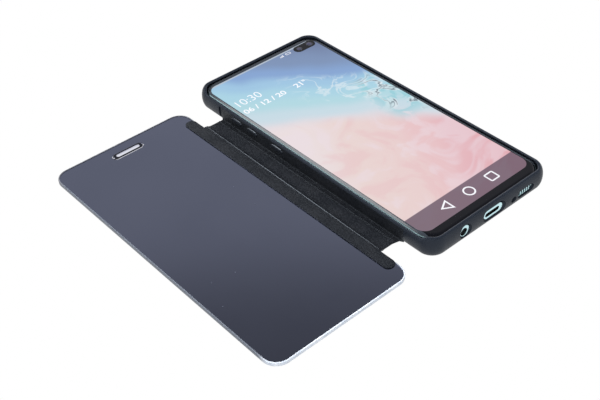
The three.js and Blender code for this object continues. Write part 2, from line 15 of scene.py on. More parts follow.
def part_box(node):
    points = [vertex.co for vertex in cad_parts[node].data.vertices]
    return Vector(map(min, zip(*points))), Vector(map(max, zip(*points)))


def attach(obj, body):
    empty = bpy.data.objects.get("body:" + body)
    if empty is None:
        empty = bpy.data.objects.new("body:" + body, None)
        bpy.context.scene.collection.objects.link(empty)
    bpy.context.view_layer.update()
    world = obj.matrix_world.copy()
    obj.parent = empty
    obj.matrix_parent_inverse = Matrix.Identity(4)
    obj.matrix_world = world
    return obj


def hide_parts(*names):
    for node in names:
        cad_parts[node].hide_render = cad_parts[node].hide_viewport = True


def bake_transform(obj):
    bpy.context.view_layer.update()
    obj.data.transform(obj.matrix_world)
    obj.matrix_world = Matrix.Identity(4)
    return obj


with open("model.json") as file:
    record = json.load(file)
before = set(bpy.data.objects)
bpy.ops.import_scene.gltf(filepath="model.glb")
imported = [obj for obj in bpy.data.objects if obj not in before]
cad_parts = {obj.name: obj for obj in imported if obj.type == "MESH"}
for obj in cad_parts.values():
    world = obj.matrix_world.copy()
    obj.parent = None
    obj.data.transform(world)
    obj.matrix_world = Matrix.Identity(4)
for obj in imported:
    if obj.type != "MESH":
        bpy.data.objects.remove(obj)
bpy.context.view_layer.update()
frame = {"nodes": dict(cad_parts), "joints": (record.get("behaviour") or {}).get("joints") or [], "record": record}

MM = 0.001
FLAT_END_CORNERS = 8  # a face with more corners than this is the flat end of a solid


def cad(*nodes):
    """Lowest and highest corner of some CAD nodes together, in millimetres."""
    lows, highs = zip(*(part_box(node) for node in nodes))
    low = Vector([min(v[k] for v in lows) for k in range(3)]) / MM
    high = Vector([max(v[k] for v in highs) for k in range(3)]) / MM
    return low, high


def centre_of(low, high):
    return ((low.x + high.x) / 2, (low.y + high.y) / 2)


def size_of(node):
    """How far a CAD node reaches along X and along Y."""
    low, high = cad(node)
    return high.x - low.x, high.y - low.y


# -------------------- colours and materials


def srgb(red, green, blue):
    """A colour given as 0-255 screen values, as the linear one that shaders take."""

    def linear(value):
        value /= 255
        return value / 12.92 if value <= 0.04045 else ((value + 0.055) / 1.055) ** 2.4

    return (linear(red), linear(green), linear(blue), 1.0)


def fill_ramp(ramp, stops):
    """Gives a colour ramp its stops, as (place from 0 to 1, colour)."""
    while len(ramp.elements) < len(stops):
        ramp.elements.new(0.5)
    for element, (at, colour) in zip(ramp.elements, stops):
        element.position = at
        element.color = colour


class Shader:
    """One material's nodes. Lengths in it are in millimetres on the object."""

    def __init__(self, name, colour, roughness, **sockets):
        self.material = bpy.data.materials.new(name)
        self.material.use_nodes = True
        self.tree = self.material.node_tree
        self.surface = self.tree.nodes["Principled BSDF"]
        self.surface.inputs["Base Color"].default_value = colour
        self.surface.inputs["Roughness"].default_value = roughness
        for socket, value in sockets.items():
            self.surface.inputs[socket.replace("_", " ")].default_value = value
        self.colour = colour
        scale = self.node("ShaderNodeVectorMath", operation="SCALE")
        scale.inputs["Scale"].default_value = 1 / MM
        self.link(self.node("ShaderNodeTexCoord").outputs["Object"], scale.inputs[0])
        self.place = scale.outputs[0]
        self.height = None

    def node(self, kind, **settings):
        node = self.tree.nodes.new(kind)
        for name, value in settings.items():
            setattr(node, name, value)
        return node

    def link(self, source, target):
        self.tree.links.new(source, target)

    def feed(self, sockets, values):
        """Sets each socket to its number or colour, or links it to another node's output."""
        for socket, value in zip(sockets, values):
            if isinstance(value, (int, float, tuple)):
                socket.default_value = value
            else:
                self.link(value, socket)

    def steer(self, name, value):
        """Lets a value steer one socket of the surface."""
        self.link(value, self.surface.inputs[name])

    def noise(self, size, detail=3.0, distortion=0.0):
        """Soft noise whose blobs are about size millimetres across."""
        texture = self.node("ShaderNodeTexNoise")
        texture.inputs["Scale"].default_value = 1 / size
        texture.inputs["Detail"].default_value = detail
        texture.inputs["Distortion"].default_value = distortion
        self.link(self.place, texture.inputs["Vector"])
        return texture.outputs["Fac"]

    def cells(self, size, feature="DISTANCE_TO_EDGE"):
        """Cells about size millimetres across, as leather grain has."""
        texture = self.node("ShaderNodeTexVoronoi", feature=feature)
        texture.inputs["Scale"].default_value = 1 / size
        self.link(self.place, texture.inputs["Vector"])
        return texture.outputs["Distance"]

    def math(self, operation, *values):
        node = self.node("ShaderNodeMath", operation=operation)
        self.feed(node.inputs, values)
        return node.outputs[0]

    def product(self, first, *others):
        for other in others:
            first = self.math("MULTIPLY", first, other)
        return first

    def distance(self, value, at):
        return self.math("ABSOLUTE", self.math("SUBTRACT", value, at))

    def remap(self, value, low, high, start=0.0, end=1.0, smooth=False):
        """value between low and high as a number between start and end."""
        node = self.node("ShaderNodeMapRange")
        if smooth:
            node.interpolation_type = "SMOOTHSTEP"
        for name, number in (("From Min", low), ("From Max", high), ("To Min", start), ("To Max", end)):
            node.inputs[name].default_value = number
        self.link(value, node.inputs["Value"])
        return node.outputs["Result"]

    def axes(self):
        split = self.node("ShaderNodeSeparateXYZ")
        self.link(self.place, split.inputs[0])
        return split.outputs

    def ramp(self, value, stops):
        """Colours along a value: stops are (value, colour), and the value is in millimetres."""
        low, high = stops[0][0], stops[-1][0]
        node = self.node("ShaderNodeValToRGB")
        node.color_ramp.interpolation = "EASE"
        fill_ramp(node.color_ramp, [((at - low) / (high - low), colour) for at, colour in stops])
        self.link(self.remap(value, low, high), node.inputs[0])
        return node.outputs["Color"]

    def mix(self, factor, first, second):
        node = self.node("ShaderNodeMix", data_type="RGBA")
        self.feed((node.inputs[0], node.inputs[6], node.inputs[7]), (factor, first, second))
        return node.outputs[2]

    def vary_colour(self, factor, other):
        """Lets the base colour drift towards another one."""
        self.steer("Base Color", self.mix(factor, self.colour, other))

    def vary_roughness(self, factor, low, high):
        self.steer("Roughness", self.remap(factor, 0.3, 0.7, low, high))

    def raise_by(self, height, depth):
        """Adds relief of about depth millimetres, where height runs from 0 to 1."""
        scaled = self.math("MULTIPLY", height, depth * MM)
        self.height = scaled if self.height is None else self.math("ADD", self.height, scaled)

    def finish(self):
        if self.height is not None:
            bump = self.node("ShaderNodeBump")
            bump.inputs["Distance"].default_value = 1.0
            bump.inputs["Strength"].default_value = 1.0
            self.link(self.height, bump.inputs["Height"])
            self.steer("Normal", bump.outputs[0])
        return self.material


def sheen(level):
    """Socket values for a surface whose gloss is a little cool."""
    return {"Specular_IOR_Level": level, "Specular_Tint": (0.76, 0.87, 1.0, 1)}


def pressed_leather():
    """Leather where a heated tool has closed its grain."""
    shader = Shader("pressed_leather", (0.0070, 0.0078, 0.0102, 1), 0.2, **sheen(1.0))
    shader.raise_by(shader.noise(1.2), 0.01)
    shader.vary_colour(shader.remap(shader.noise(9, 4), 0.4, 0.75), (0.0110, 0.0120, 0.0150, 1))
    shader.vary_roughness(shader.noise(5), 0.17, 0.24)
    return shader.finish()


def leather():
    shader = Shader("leather", (0.0066, 0.0074, 0.0098, 1), 0.5, **sheen(0.5))
    grain = shader.cells(0.42)
    shader.raise_by(shader.remap(grain, 0.0, 0.22), 0.035)
    shader.raise_by(shader.noise(2.2), 0.05)
    worn = shader.remap(shader.noise(9, 4), 0.4, 0.75)
    shader.vary_colour(worn, (0.011, 0.0118, 0.0145, 1))
    shader.vary_roughness(shader.noise(5), 0.46, 0.62)
    return shader.finish()


def case_plastic():
    """Moulded plastic, rubbed smoother along the lip."""
    shader = Shader("case_plastic", (0.0122, 0.0154, 0.0222, 1), 0.4, **sheen(0.22))
    shader.raise_by(shader.noise(0.16, 1), 0.012)
    shader.raise_by(shader.noise(1.6), 0.012)
    shader.vary_colour(shader.remap(shader.noise(14, 3), 0.35, 0.7), (0.0150, 0.0185, 0.0265, 1))
    worn = shader.remap(shader.noise(6), 0.3, 0.7, 0.36, 0.46)
    rubbed = shader.remap(shader.axes()[2], 10.1, 10.45, 0.0, 0.2, smooth=True)
    shader.steer("Roughness", shader.math("SUBTRACT", worn, rubbed))
    return shader.finish()


def pad_plastic():
    shader = Shader("pad_plastic", (0.0100, 0.0118, 0.0160, 1), 0.14, **sheen(1.0))
    shader.raise_by(shader.noise(0.3, 1), 0.004)
    shader.vary_colour(shader.remap(shader.noise(4, 3), 0.35, 0.7), (0.0130, 0.0150, 0.0200, 1))
    shader.vary_roughness(shader.noise(2), 0.11, 0.17)
    return shader.finish()


def clear_plastic():
    clear = {"IOR": 1.5, "Transmission_Weight": 1.0, "Specular_IOR_Level": 0.5}
    shader = Shader("clear_plastic", (0.86, 0.91, 1.0, 1), 0.03, **clear)
    shader.raise_by(shader.noise(40, 1), 0.004)
    return shader.finish()


def edge_plastic():
    """Frosted plastic, grey along its sides and far end, with painted light that makes it bright at the near end
    of the cover and a shade lighter at the far end.
    """
    shader = Shader("edge_plastic", (0.10, 0.115, 0.145, 1), 0.35, Specular_IOR_Level=0.4)
    _, y, _ = shader.axes()
    # painted light: the near end is coloured pale, and the far end a lighter grey than the sides
    near = shader.remap(y, -76, -70, 1.0, 0.0, smooth=True)
    far = shader.remap(y, 66, 74, smooth=True)
    side = shader.mix(far, shader.colour, (0.13, 0.135, 0.155, 1))
    patchy = shader.remap(shader.noise(5, 3), 0.35, 0.65)
    bright = shader.mix(patchy, (0.46, 0.51, 0.59, 1), (0.62, 0.66, 0.73, 1))
    shader.steer("Base Color", shader.mix(near, side, bright))
    return shader.finish()


def mirror_film():
    """A smoked mirror with a slight haze and a few specks of dust."""
    shader = Shader("mirror_film", (0.43, 0.47, 0.67, 1), 0.09, Metallic=1.0)
    shader.vary_colour(shader.remap(shader.noise(40, 1), 0.3, 0.7), (0.41, 0.45, 0.645, 1))
    dust = shader.remap(shader.cells(9.5, "F1"), 0.02, 0.034, 1.0, 0.0)
    haze = shader.remap(shader.noise(16, 3), 0.35, 0.75, 0.07, 0.11)
    shader.steer("Roughness", shader.math("ADD", haze, shader.math("MULTIPLY", dust, 0.3)))
    shader.raise_by(dust, 0.02)
    return shader.finish()


def bezel_plastic(top):
    """Dark on its face, with its sides coloured bright as a painted highlight."""
    shader = Shader("bezel_plastic", (0.74, 0.75, 0.82, 1), 0.12, Metallic=1.0)
    height = shader.axes()[2]
    # painted highlight: below its face the ring keeps a bright colour, and only the face turns dark
    shader.vary_colour(shader.remap(height, top - 0.16, top - 0.06), (0.10, 0.105, 0.14, 1))
    shader.vary_roughness(shader.noise(2), 0.08, 0.18)
    return shader.finish()


def frame_metal():
    shader = Shader("frame_metal", (0.62, 0.86, 0.90, 1), 0.24, Metallic=1.0)
    shader.vary_colour(shader.remap(shader.noise(12), 0.3, 0.7), (0.56, 0.82, 0.87, 1))
    shader.vary_roughness(shader.noise(3), 0.2, 0.3)
    shader.raise_by(shader.noise(0.3, 1), 0.002)
    return shader.finish()


BLACK = (0.0040, 0.0042, 0.0062, 1)


def black_glass():
    shader = Shader("black_glass", BLACK, 0.08, Specular_IOR_Level=0.5)
    shader.vary_roughness(shader.noise(8), 0.06, 0.12)
    return shader.finish()


def border_glass(half_width, top):
    """Black printed glass, coloured graphite where it rolls down at the sides and the top end as painted
    reflection.
    """
    shader = Shader("border_glass", BLACK, 0.08, Specular_IOR_Level=0.5)
    x, y, _ = shader.axes()
    # painted reflection: the border is coloured graphite at its sides and top end instead of black
    side = shader.remap(shader.math("ABSOLUTE", x), half_width - 0.2, half_width, smooth=True)
    upper = shader.remap(y, top - 0.2, top, 0.0, 0.6, smooth=True)
    shader.vary_colour(shader.math("MAXIMUM", side, upper), (0.030, 0.036, 0.045, 1))
    shader.vary_roughness(shader.noise(8), 0.06, 0.12)
    return shader.finish()


def lens_glass():
    shader = Shader("lens_glass", (0.018, 0.022, 0.045, 1), 0.05, Coat_Weight=1.0, Coat_Roughness=0.01)
    shader.vary_colour(shader.remap(shader.noise(1.2), 0.35, 0.7), (0.035, 0.030, 0.075, 1))
    return shader.finish()


def screen_picture(chin_line, top_line):
    """The lit display: a plain abstract wash of cool and warm tones, with a mauve bar across the lower end
    and a pale line along the upper one."""
    shader = Shader("screen_picture", (0.004, 0.004, 0.005, 1), 0.03, Emission_Strength=0.95)
    x, y, _ = shader.axes()
    drift = shader.remap(shader.noise(48, 2), 0.25, 0.75, -6, 6)
    slant = shader.math("ADD", shader.math("ADD", y, shader.product(x, 0.71)), drift)
    cool = shader.ramp(
        slant,
        (
            (-10, srgb(227, 221, 226)),
            (4, srgb(225, 222, 229)),
            (17, srgb(202, 222, 232)),
            (29, srgb(180, 219, 229)),
            (40, srgb(172, 214, 231)),
            (51, srgb(160, 200, 229)),
            (62, srgb(134, 166, 212)),
            (76, srgb(125, 147, 184)),
            (97, srgb(109, 123, 158)),
        ),
    )
    warmth = shader.math("SUBTRACT", shader.product(x, 0.9), shader.product(y, 0.5))
    warm_drift = shader.remap(shader.noise(30, 3), 0.25, 0.75, -5, 5)
    warm = shader.ramp(
        shader.math("ADD", warmth, warm_drift),
        (
            (-32, srgb(237, 224, 225)),
            (-10, srgb(236, 215, 212)),
            (12, srgb(236, 210, 209)),
            (27, srgb(235, 198, 201)),
            (44, srgb(231, 183, 190)),
            (60, srgb(228, 168, 176)),
        ),
    )
    folds = shader.noise(24, 3, distortion=1.2)
    pale = shader.remap(folds, 0.5, 0.62, 0.0, 0.45, smooth=True)
    rosy = shader.remap(folds, 0.36, 0.48, 0.3, 0.0, smooth=True)
    warm = shader.mix(pale, warm, srgb(238, 224, 232))
    warm = shader.mix(rosy, warm, srgb(233, 184, 190))
    wash = shader.mix(shader.remap(slant, 0, 12, smooth=True), warm, cool)
    wash = add_wisps(shader, wash, x, y, slant)
    seam = shader.remap(shader.distance(y, top_line + 0.6), 0.3, 0.6, 0.95, 0.0)
    wash = shader.mix(seam, wash, srgb(186, 197, 208))
    bar = shader.remap(y, chin_line - 0.15, chin_line + 0.15, 0.92, 0.0)
    shader.steer("Emission Color", shader.mix(bar, wash, srgb(112, 92, 108)))
    return shader.finish()


def add_wisps(shader, wash, x, y, slant):
    """Pale veils over the cool tones, and a torn pool with light and dark threads towards the right."""
    veins = shader.distance(shader.noise(17, 4, distortion=1.6), 0.5)
    veils = shader.product(
        shader.remap(veins, 0.0, 0.05, 0.7, 0.0, smooth=True),
        shader.remap(x, -10, 8, smooth=True),
        shader.remap(slant, 20, 30, smooth=True),
        shader.remap(slant, 48, 62, 1.0, 0.0, smooth=True),
    )
    wash = shader.mix(veils, wash, srgb(226, 238, 244))
    pool = shader.product(
        shader.remap(x, 12, 24, smooth=True),
        shader.remap(y, -14, -2, smooth=True),
        shader.remap(y, 22, 34, 1.0, 0.0, smooth=True),
    )
    torn = shader.remap(shader.noise(11, 4, distortion=1.2), 0.42, 0.5, smooth=True)
    wash = shader.mix(shader.product(pool, torn, 0.8), wash, srgb(150, 208, 219))
    threads = shader.distance(shader.noise(17, 4, distortion=1.0), 0.5)
    light = shader.remap(threads, 0.02, 0.07, 0.6, 0.0, smooth=True)
    wash = shader.mix(shader.product(light, pool), wash, srgb(232, 240, 244))
    dark = shader.remap(threads, 0.005, 0.02, 0.75, 0.0, smooth=True)
    core = shader.remap(x, 16, 26, smooth=True)
    return shader.mix(shader.product(dark, pool, core), wash, srgb(74, 92, 108))


def screen_ink():
    glow = {"Emission_Strength": 1.0, "Emission_Color": srgb(246, 247, 252)}
    shader = Shader("screen_ink", (0.02, 0.02, 0.02, 1), 0.4, **glow)
    shader.vary_roughness(shader.noise(4), 0.35, 0.45)
    return shader.finish()


def plain(name, colour, roughness, blotch=6, relief=0.0, **sockets):
    """A material for what sits inside: one colour that drifts a little, and some relief."""
    shader = Shader(name, colour, roughness, **sockets)
    darker = tuple(0.75 * value for value in colour[:3]) + (1,)
    shader.vary_colour(shader.remap(shader.noise(blotch, 4), 0.35, 0.7), darker)
    shader.vary_roughness(shader.noise(blotch / 2), roughness * 0.85, min(1.0, roughness * 1.2))
    if relief:
        shader.raise_by(shader.noise(blotch / 8, 2), relief)
    return shader.finish()


# -------------------- meshes


def outline(width, length, radius, inset=0.0, centre=(0, 0), steps=10):
    """A rounded rectangle drawn in by inset, as points anticlockwise from the lower right corner."""
    turn = max(radius - inset, 0.02)
    points = []
    for sx, sy, start in ((1, -1, -90), (1, 1, 0), (-1, 1, 90), (-1, -1, 180)):
        for step in range(steps + 1):
            angle = math.radians(start + 90 * step / steps)
            x = centre[0] + sx * (width / 2 - radius) + turn * math.cos(angle)
            y = centre[1] + sy * (length / 2 - radius) + turn * math.sin(angle)
            points.append((x, y))
    return points


def box_outline(low, high, radius, inset=0.0, steps=10):
    """The rounded rectangle that fills a box seen from above."""
    return outline(high.x - low.x, high.y - low.y, radius, inset, centre_of(low, high), steps)


def pill(length, height, inset=0.0, centre=(0, 0), steps=10):
    return outline(length, height, min(length, height) / 2 - 0.01, inset, centre, steps)


def skin(name, rings, ends="cap"):
    """A closed mesh skinned over rings with the same number of points.

    Its ends are capped ("cap"), or the last ring is joined to the first ("ring").
    """
    mesh = bmesh.new()
    rows = [[mesh.verts.new(Vector(point) * MM) for point in ring] for ring in rings]
    pairs = list(zip(rows, rows[1:]))
    if ends == "ring":
        pairs.append((rows[-1], rows[0]))
    count = len(rows[0])
    for lower, upper in pairs:
        for i in range(count):
            j = (i + 1) % count
            mesh.faces.new((lower[i], lower[j], upper[j], upper[i]))
    if ends == "cap":
        mesh.faces.new(list(reversed(rows[0])))
        mesh.faces.new(rows[-1])
    bmesh.ops.recalc_face_normals(mesh, faces=mesh.faces)
    data = bpy.data.meshes.new(name)
    mesh.to_mesh(data)
    mesh.free()
    piece = bpy.data.objects.new(name, data)
    bpy.context.scene.collection.objects.link(piece)
    return piece


def slab(name, shape, levels, axis="z", ends="cap"):
    """A solid whose outline is shape(inset) at each (place, inset) along the axis."""
    lay = {
        "z": lambda u, v, at: (u, v, at),
        "y": lambda u, v, at: (u, at, v),
        "x": lambda u, v, at: (at, u, v),
    }[axis]
    return skin(name, [[lay(u, v, at) for u, v in shape(inset)] for at, inset in levels], ends)


def plug(points, start, end, axis="z"):
    """A straight cutter with the given outline."""
    return slab("cut", lambda inset: points, ((start, 0), (end, 0)), axis)


def flared(shape, mouth, throat, inner, flare, axis):
    """A cutter that opens out by flare between throat and mouth, so that the hole's edge is softened."""
    outside = mouth + (mouth - throat)
    levels = [(outside, -flare), (mouth, -flare), (lerp(throat, mouth, 0.35), -flare * 0.3)]
    return slab("cut", shape, levels + [(throat, 0), (inner, 0)], axis)


def soft_edges(low, high, radius, upper=None, steps=3):
    """Levels of a slab with its lower and upper edges rounded, as (place, inset)."""
    upper = radius if upper is None else upper
    turn = [math.pi / 2 * step / steps for step in range(steps + 1)]
    rise = [(low + radius * (1 - math.cos(a)), radius * (1 - math.sin(a))) for a in turn]
    fall = [(high - upper * (1 - math.cos(a)), upper * (1 - math.sin(a))) for a in reversed(turn)]
    return rise + fall


def carve(piece, *cutters):
    """Cuts the cutters out of the piece and throws them away."""
    for cutter in cutters:
        modifier = piece.modifiers.new("carve", "BOOLEAN")
        modifier.operation = "DIFFERENCE"
        modifier.solver = "EXACT"
        modifier.object = cutter
    depsgraph = bpy.context.evaluated_depsgraph_get()
    depsgraph.update()
    carved = bpy.data.meshes.new_from_object(piece.evaluated_get(depsgraph))
    piece.modifiers.clear()
    piece.data = carved
    for cutter in cutters:
        bpy.data.objects.remove(cutter)


def dress(piece, material, sharp=38):
    """Gives the piece its material, and smooth shading that breaks at sharp edges and flat ends."""
    piece.data.materials.clear()
    piece.data.materials.append(material)
    mesh = bmesh.new()
    mesh.from_mesh(piece.data)
    bmesh.ops.remove_doubles(mesh, verts=mesh.verts, dist=1e-7)
    limit = math.radians(sharp)
    for face in mesh.faces:
        face.smooth = len(face.verts) <= FLAT_END_CORNERS
    for edge in mesh.edges:
        edge.smooth = len(edge.link_faces) == 2 and edge.calc_face_angle(0) < limit
    mesh.to_mesh(piece.data)
    mesh.free()


def place(piece, look, body, slot, *nodes, sharp=38):
    """The piece gets its look, rides on a body, and stands for some CAD nodes; slot is not used."""
    dress(piece, look, sharp)
    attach(piece, body)
    if nodes:
        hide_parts(*nodes)


def smoothstep(low, high, value):
    t = min(max((value - low) / (high - low), 0.0), 1.0)
    return t * t * (3 - 2 * t)


def lerp(start, end, t):
    return start + (end - start) * t


LOOKS = {
    "leather": leather(),
    "pressed": pressed_leather(),
    "case": case_plastic(),
    "pad": pad_plastic(),
    "clear": clear_plastic(),
    "edge": edge_plastic(),
    "mirror": mirror_film(),
    "bezel": bezel_plastic(cad("earpiece_ring")[1].z),
    "metal": frame_metal(),
    "black_glass": black_glass(),
    "lens": lens_glass(),
    "ink": screen_ink(),
    "rings": plain("rings", (0.10, 0.105, 0.12, 1), 0.3, 2, 0.0, Metallic=0.8),
    "steel": plain("steel", (0.52, 0.53, 0.55, 1), 0.32, 3, 0.003, Metallic=1.0),
    "copper": plain("copper", (0.80, 0.36, 0.20, 1), 0.35, 4, 0.003, Metallic=1.0),
    "board": plain("board", (0.012, 0.07, 0.04, 1), 0.45, 3, 0.01),
    "battery": plain("battery", (0.025, 0.026, 0.03, 1), 0.5, 10, 0.01),
    "moulding": plain("moulding", (0.012, 0.012, 0.014, 1), 0.55, 4, 0.01),
}

# -------------------- case tray

tray_low, tray_high = cad("case_tray")
TRAY_WIDTH = tray_high.x - tray_low.x
END_SPARE = 0.27  # the end walls are seen this much thinner than their solid
TRAY_LENGTH = tray_high.y - tray_low.y - 2 * END_SPARE
TRAY_CORNER = 8
WIDEST = 5.6  # height where the tray is widest
FOOT_REACH = 2.2  # how far the tray draws in under that
LIP_START, LIP_END = 70.5, 77.5  # the rim climbs from the low left lip to the end lip between these
FLOOR = 1.9
POCKET_TOP = 9.97
LIP_BEVEL = ((0.22, 0.03), (0.45, 0.11), (0.68, 0.21), (0.86, 0.33), (0.96, 0.46), (1.0, 0.6))
WALL = 1.6  # from the widest line in to the pocket
# Where the lip stands on the left side, the right side and the ends.
LIPS = {
    "left": {"top": 8.65, "reach": 0.75, "mouth": 1.6, "under": 8.05},
    "right": {"top": tray_high.z, "reach": 1.8, "mouth": 2.2, "under": POCKET_TOP},
    "end": {"top": tray_high.z, "reach": 1.9, "mouth": 2.8, "under": POCKET_TOP},
}

wall_low, wall_high = cad("wall_skin")
SKIN_FACE = wall_low.x
SKIN_BACK = -37.76
SKIN_TOP = wall_high.z
SKIN_HIGH = wall_high.y - 0.3
SKIN_LOW = wall_low.y - 2.1
SKIN_GROOVE = 0.55  # left open past the upper end of the wall's leather


def tray_ring(level):
    """One ring of the tray, where level gives (draw, height) for one of the LIPS."""
    drawn = {}
    for side, lip in LIPS.items():
        draw, height = level(lip)
        points = outline(TRAY_WIDTH, TRAY_LENGTH, TRAY_CORNER, draw, steps=16)
        drawn[side] = [(x, y, height) for x, y in points]
    ring = []
    for i, (x, y) in enumerate(outline(TRAY_WIDTH, TRAY_LENGTH, TRAY_CORNER, steps=16)):
        t = smoothstep(LIP_START, LIP_END, abs(y))
        near, far = drawn["left" if x < 0 else "right"][i], drawn["end"][i]
        ring.append(tuple(lerp(a, b, t) for a, b in zip(near, far)))
    return ring


def tray_rings():
    """Up the outside from the foot to the lip, over its rounded inner edge and down into the pocket."""
    base = tray_low.z
    rings = []
    for step in range(8):
        angle = math.pi / 2 * step / 8
        foot = (FOOT_REACH * (1 - math.sin(angle)), WIDEST - (WIDEST - base) * math.cos(angle))
        rings.append(tray_ring(lambda lip: foot))
    for step in range(11):
        angle = math.pi / 2 * step / 10
        draw, climb = 1 - math.cos(angle), math.sin(angle)
        rings.append(tray_ring(lambda lip: (lip["reach"] * draw, lerp(WIDEST, lip["top"], climb))))
    for inward, drop in LIP_BEVEL:
        rings.append(tray_ring(lambda lip: (lerp(lip["reach"], lip["mouth"], inward), lip["top"] - drop)))
    rings.append(tray_ring(lambda lip: (lip["mouth"], lip["under"])))
    rings.append(tray_ring(lambda lip: (WALL, lip["under"] - 0.05)))
    rings.append(tray_ring(lambda lip: (WALL, FLOOR)))
    return rings


PADS = {name: cad(name) for name in ("volume_up_pad", "volume_down_pad", "assistant_pad", "power_pad")}
PAD_SLACK = 0.12
PAD_ROOT = 37  # the pads' slots reach in to here


def pad_shape(name, slack):
    """A pad's outline on the side of the case, as (y, z), grown by slack."""
    low, high = PADS[name]
    centre = ((low.y + high.y) / 2, (low.z + high.z) / 2)
    return lambda inset: pill(high.y - low.y, high.z - low.z, inset - slack, centre)


def pad_cutter(name):
    low, high = PADS[name]
    side, face = (-1, low.x) if low.x < 0 else (1, high.x)
    shape = pad_shape(name, PAD_SLACK)
    return flared(shape, face + side * 0.3, face - side * 0.15, side * PAD_ROOT, 0.1, "x")


def middle(node, axis):
    low, high = cad(node)
    return (low[axis] + high[axis]) / 2


PORT_Z = middle("usb_socket", 2)
usb_x = middle("usb_socket", 0)
jack_x = middle("headphone_jack", 0)
microphone_x = middle("microphone", 0)
speaker_x = 21.7
upper_microphone_x = -6
# Holes through the lower wall: (length, height, centre, how far the mouth flares).
PORT_HOLES = (
    (12.8, 5.0, (0.5, 5.95), 0.9),
    (5.9, 5.9, (jack_x, 5.85), 0.7),
    (2.3, 2.0, (microphone_x, 5.1), 0.5),
    (10.0, 2.9, (speaker_x, 5.5), 0.45),
)
PORT_MOUTH, PORT_THROAT, PORT_INNER = -80.6, -79.3, -76.5


def port_cutter(length, height, centre, flare):
    shape = lambda inset: pill(length, height, inset, centre)
    return flared(shape, PORT_MOUTH, PORT_THROAT, PORT_INNER, flare, "y")


def window_shape(inset):
    """The opening in the case's back round the rear cameras."""
    return outline(49, 16.5, 8, inset, (0, 57))


def skin_recess():
    """What is cut from the left wall to let the leather in, with a groove past its upper end."""
    low, high = SKIN_LOW - 0.05, SKIN_HIGH + SKIN_GROOVE
    foot, top = 0.4, SKIN_TOP + 0.06
    return plug([(low, foot), (high, foot), (high, top), (low, top)], -40, SKIN_BACK + 0.01, "x")


def make_tray():
    tray = skin("case_shell", tray_rings())
    carve(
        tray,
        *(port_cutter(*hole) for hole in PORT_HOLES),
        plug(pill(2.2, 2.2, 0, (upper_microphone_x, PORT_Z)), 76, 82, "y"),
        flared(window_shape, 0.5, 0.9, 3, 0.35, "z"),
        skin_recess(),
        *(pad_cutter(name) for name in PADS),
    )
    place(tray, LOOKS["case"], "tray", "tray", "case_tray")


make_tray()


def make_pad(name):
    """A moulded pad over a key, with a bevelled face."""
    low, high = PADS[name]
    side, face, root = (-1, low.x, high.x) if low.x < 0 else (1, high.x, low.x)
    levels = [(root, 0)]
    for depth, inset in ((0.52, 0), (0.47, 0.03), (0.07, 0.27), (0.02, 0.36), (0.0, 0.5), (0.0, 1.0)):
        levels.append((face - side * depth, inset))
    pad = slab(name + "_cap", pad_shape(name, 0), levels, "x")
    place(pad, LOOKS["pad"], name, "tray", name, sharp=60)


for pad_name in PADS:
    make_pad(pad_name)


# -------------------- leather


def sheet_rings(face, back, ends, stations, lean=lambda i: 0.0):
    """Rings across a leather sheet whose ends are rounded off.

    face and back are (x, z) points in step. ends(i) gives where the sheet starts and stops along Y at the
    i-th of them, and lean(i) slants it there. stations comes from edge_stations.
    """
    rings = []
    for t, pinch in stations:
        fronts, rears = [], []
        for i, (front, rear) in enumerate(zip(face, back)):
            low, high = ends(i)
            y = lerp(low, high, t)
            x, z = (lerp(a, b, pinch) for a, b in zip(front, rear))
            fronts.append((x + lean(i) * y, y, z))
            x, z = (lerp(b, a, pinch) for a, b in zip(front, rear))
            rears.append((x + lean(i) * y, y, z))
        rings.append(fronts + rears[::-1])
    return rings


def edge_stations(length, count):
    """Places along a sheet from 0 to 1 with how far its two faces close up there."""
    close = [(0.0, 0.36), (0.06, 0.2), (0.16, 0.08), (0.3, 0.02), (0.5, 0.0)]
    lower = [(at / length, pinch) for at, pinch in close]
    inner = [(step / count, 0.0) for step in range(1, count)]
    upper = [(1 - at, pinch) for at, pinch in reversed(lower)]
    return lower + inner + upper


spine_low, spine_high = cad("spine_outer_skin", "spine_board", "spine_inner_skin")
strip_low, strip_high = cad("cover_strip")
joints = {joint["name"]: joint for joint in frame["joints"]}
fold_2 = Vector(joints["cover_fold"]["pos_m"]) / MM
STRIP_CORNER = 2.8
RIDGE = fold_2.x + 1.35  # where the spine's leather passes into the ridge
RIDGE_LEAN = 0.008  # the ridge runs slightly off square
FOOT_END = -38.45  # where the wall's leather has turned flat into the spine's


def spine_face():
    """(x, z) along the seen side of the wall and spine leather, from under the rim out to the ridge."""
    wall = [(SKIN_FACE + 0.2, SKIN_TOP - 0.02), (SKIN_FACE + 0.07, SKIN_TOP - 0.08)]
    wall += [(SKIN_FACE, SKIN_TOP - 0.3 - 0.9 * step) for step in range(5)]
    foot = [(-38.13, 3.5), (-38.09, 2.8), (-38.03, 2.2), (-37.98, 1.8), (-37.97, 1.5), (-38.02, 1.25),
            (-38.16, 1.12), (-38.4, 1.07)]
    bead = [(-40.0, 1.07), (-40.2, 1.16), (-40.4, 1.3), (-40.62, 1.2), (-40.85, 1.09)]
    flat = [(-38.8, 1.06), (-39.2, 1.06), (-39.6, 1.06), *bead, (-41.2, 1.07), (-42.5, 1.07), (-44, 1.08)]
    rise = [(-45.5, 1.1), (-46.5, 1.16), (-47.2, 1.3), (-47.6, 1.45), (-47.9, 1.62), (-48.15, 1.8)]
    return wall + foot + flat + rise + [(RIDGE, 1.9)]


def spine_back(face):
    """(x, z) on the hidden side, in step with the face."""
    back = []
    for x, z in face:
        if x <= FOOT_END:
            back.append((x, lerp(0.02, 0.75, smoothstep(-46.5, RIDGE, x))))
        elif z > 1.4:
            back.append((SKIN_BACK, z - 0.3 * smoothstep(3, 1.4, z)))
        else:
            t = smoothstep(-38.0, -38.4, x)
            back.append((lerp(SKIN_BACK, -38.1, t), lerp(0.7, 0.02, t)))
    return back


